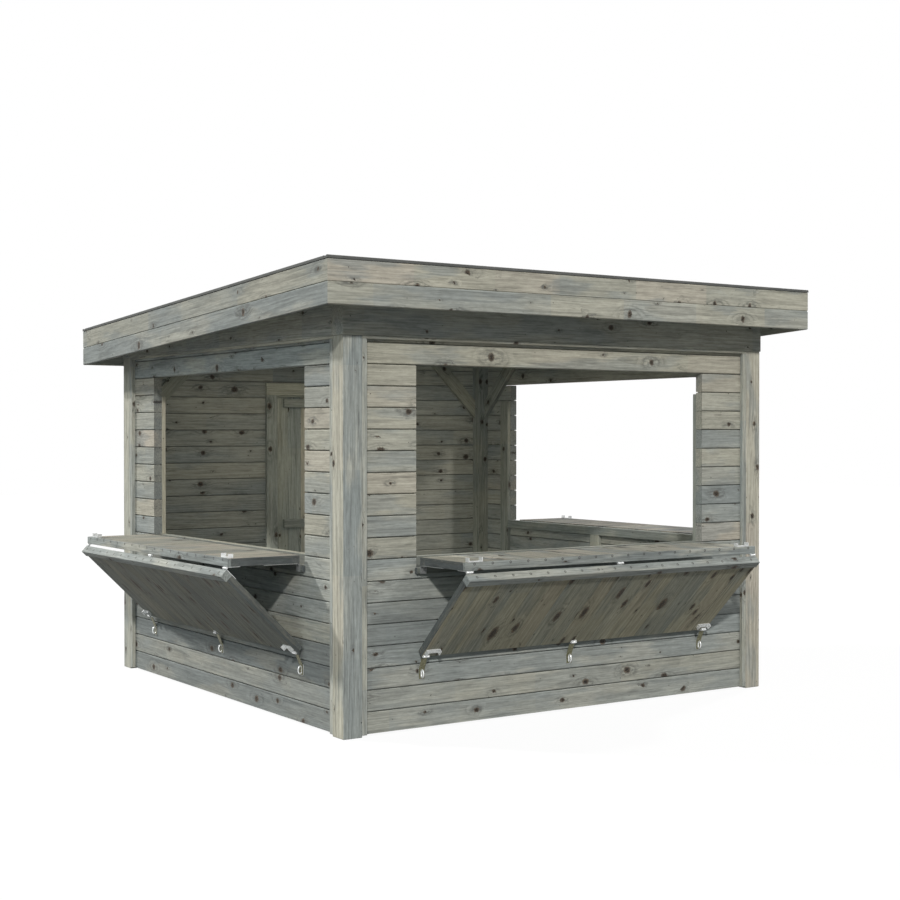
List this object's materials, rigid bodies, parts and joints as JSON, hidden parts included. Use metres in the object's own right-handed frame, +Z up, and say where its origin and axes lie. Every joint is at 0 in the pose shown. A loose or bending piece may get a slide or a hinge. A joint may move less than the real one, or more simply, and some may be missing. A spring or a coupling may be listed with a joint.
{
  "type": "wooden market stall",
  "caption": "Square timber market stall with grey stained plank walls, fold-down serving hatches on the front and sides, a boarded door at the back and a flat mono-pitch roof.",
  "frame": {"origin": "on the ground under the middle of the whole object as it stands with its hatches open", "axes": "+Z up, front hatch faces -Y, door faces +Y, +X along the front to the right"},
  "size_m": [3.9448, 3.6824, 2.4812],
  "materials": {
    "frame_wood": "grey stained, matt",
    "plank_wood": "grey stained tongue and groove boards, matt",
    "inner_wood": "grey stained, matt",
    "hatch_wood": "grey stained boards on battens, matt",
    "door_wood": "grey stained boards, matt",
    "fascia_wood": "grey stained boards, matt",
    "zinc": "bright zinc plated",
    "roof_felt": "mineral roofing felt",
    "roof_edge": "dark grey edge profile"
  },
  "bodies": {
    "stall": {"post_front_left": "frame_wood", "post_front_right": "frame_wood", "post_back_left": "frame_wood", "post_back_right": "frame_wood", "front_beam": "frame_wood", "back_beam": "frame_wood", "left_beam": "frame_wood", "right_beam": "frame_wood", "knee_braces": "inner_wood", "front_wall": "plank_wood", "left_wall": "plank_wood", "right_wall": "plank_wood", "wall_piers": "plank_wood", "hatch_lintels": "plank_wood", "back_wall": "plank_wood", "door_lintel": "plank_wood", "wall_studs": "inner_wood", "sill_rails": "inner_wood", "hatch_ledgers": "inner_wood", "corner_trims": "frame_wood", "head_trims": "frame_wood", "roof_rafters": "inner_wood", "roof_deck": "inner_wood", "roof_felt": "roof_felt", "front_fascia": "fascia_wood", "back_fascia": "fascia_wood", "side_fascias": "fascia_wood", "eaves_trims": "roof_edge", "verge_trims": "roof_edge", "door_jambs": "door_wood", "door_head": "door_wood", "door_casings": "door_wood", "door_hinges": "zinc", "hatch_hinges": "zinc", "hatch_latches": "zinc"},
    "front_counter": {"front_counter": "hatch_wood", "front_counter_fittings": "zinc"},
    "front_flap": {"front_flap": "hatch_wood", "front_flap_fittings": "zinc"},
    "right_counter": {"right_counter": "hatch_wood", "right_counter_fittings": "zinc"},
    "right_flap": {"right_flap": "hatch_wood", "right_flap_fittings": "zinc"},
    "left_counter": {"left_counter": "hatch_wood", "left_counter_fittings": "zinc"},
    "left_flap": {"left_flap": "hatch_wood", "left_flap_fittings": "zinc"},
    "door": {"door_leaf": "door_wood", "door_ledgers": "door_wood", "door_straps": "zinc", "door_handle": "zinc"}
  },
  "joints": [
    {"name": "front_counter_lift", "type": "hinge", "parent": "stall", "child": "front_counter", "pos_m": [0, -1.37182, 0.878], "axis": [-1, 0, 0], "range_deg": [0, 90]},
    {"name": "front_flap_fold", "type": "hinge", "parent": "front_counter", "child": "front_flap", "pos_m": [0, -1.80382, 0.878], "axis": [-1, 0, 0], "range_deg": [0, 135.5]},
    {"name": "right_counter_lift", "type": "hinge", "parent": "stall", "child": "right_counter", "pos_m": [1.503, 0.13118, 0.878], "axis": [0, -1, 0], "range_deg": [0, 90]},
    {"name": "right_flap_fold", "type": "hinge", "parent": "right_counter", "child": "right_flap", "pos_m": [1.935, 0.13118, 0.878], "axis": [0, -1, 0], "range_deg": [0, 135.5]},
    {"name": "left_counter_lift", "type": "hinge", "parent": "stall", "child": "left_counter", "pos_m": [-1.503, 0.13118, 0.878], "axis": [0, 1, 0], "range_deg": [0, 90]},
    {"name": "left_flap_fold", "type": "hinge", "parent": "left_counter", "child": "left_flap", "pos_m": [-1.935, 0.13118, 0.878], "axis": [0, 1, 0], "range_deg": [0, 135.5]},
    {"name": "door_swing", "type": "hinge", "parent": "stall", "child": "door", "pos_m": [0.3746, 1.61258, 0.938], "axis": [0, 0, -1], "range_deg": [0, 100]}
  ]
}
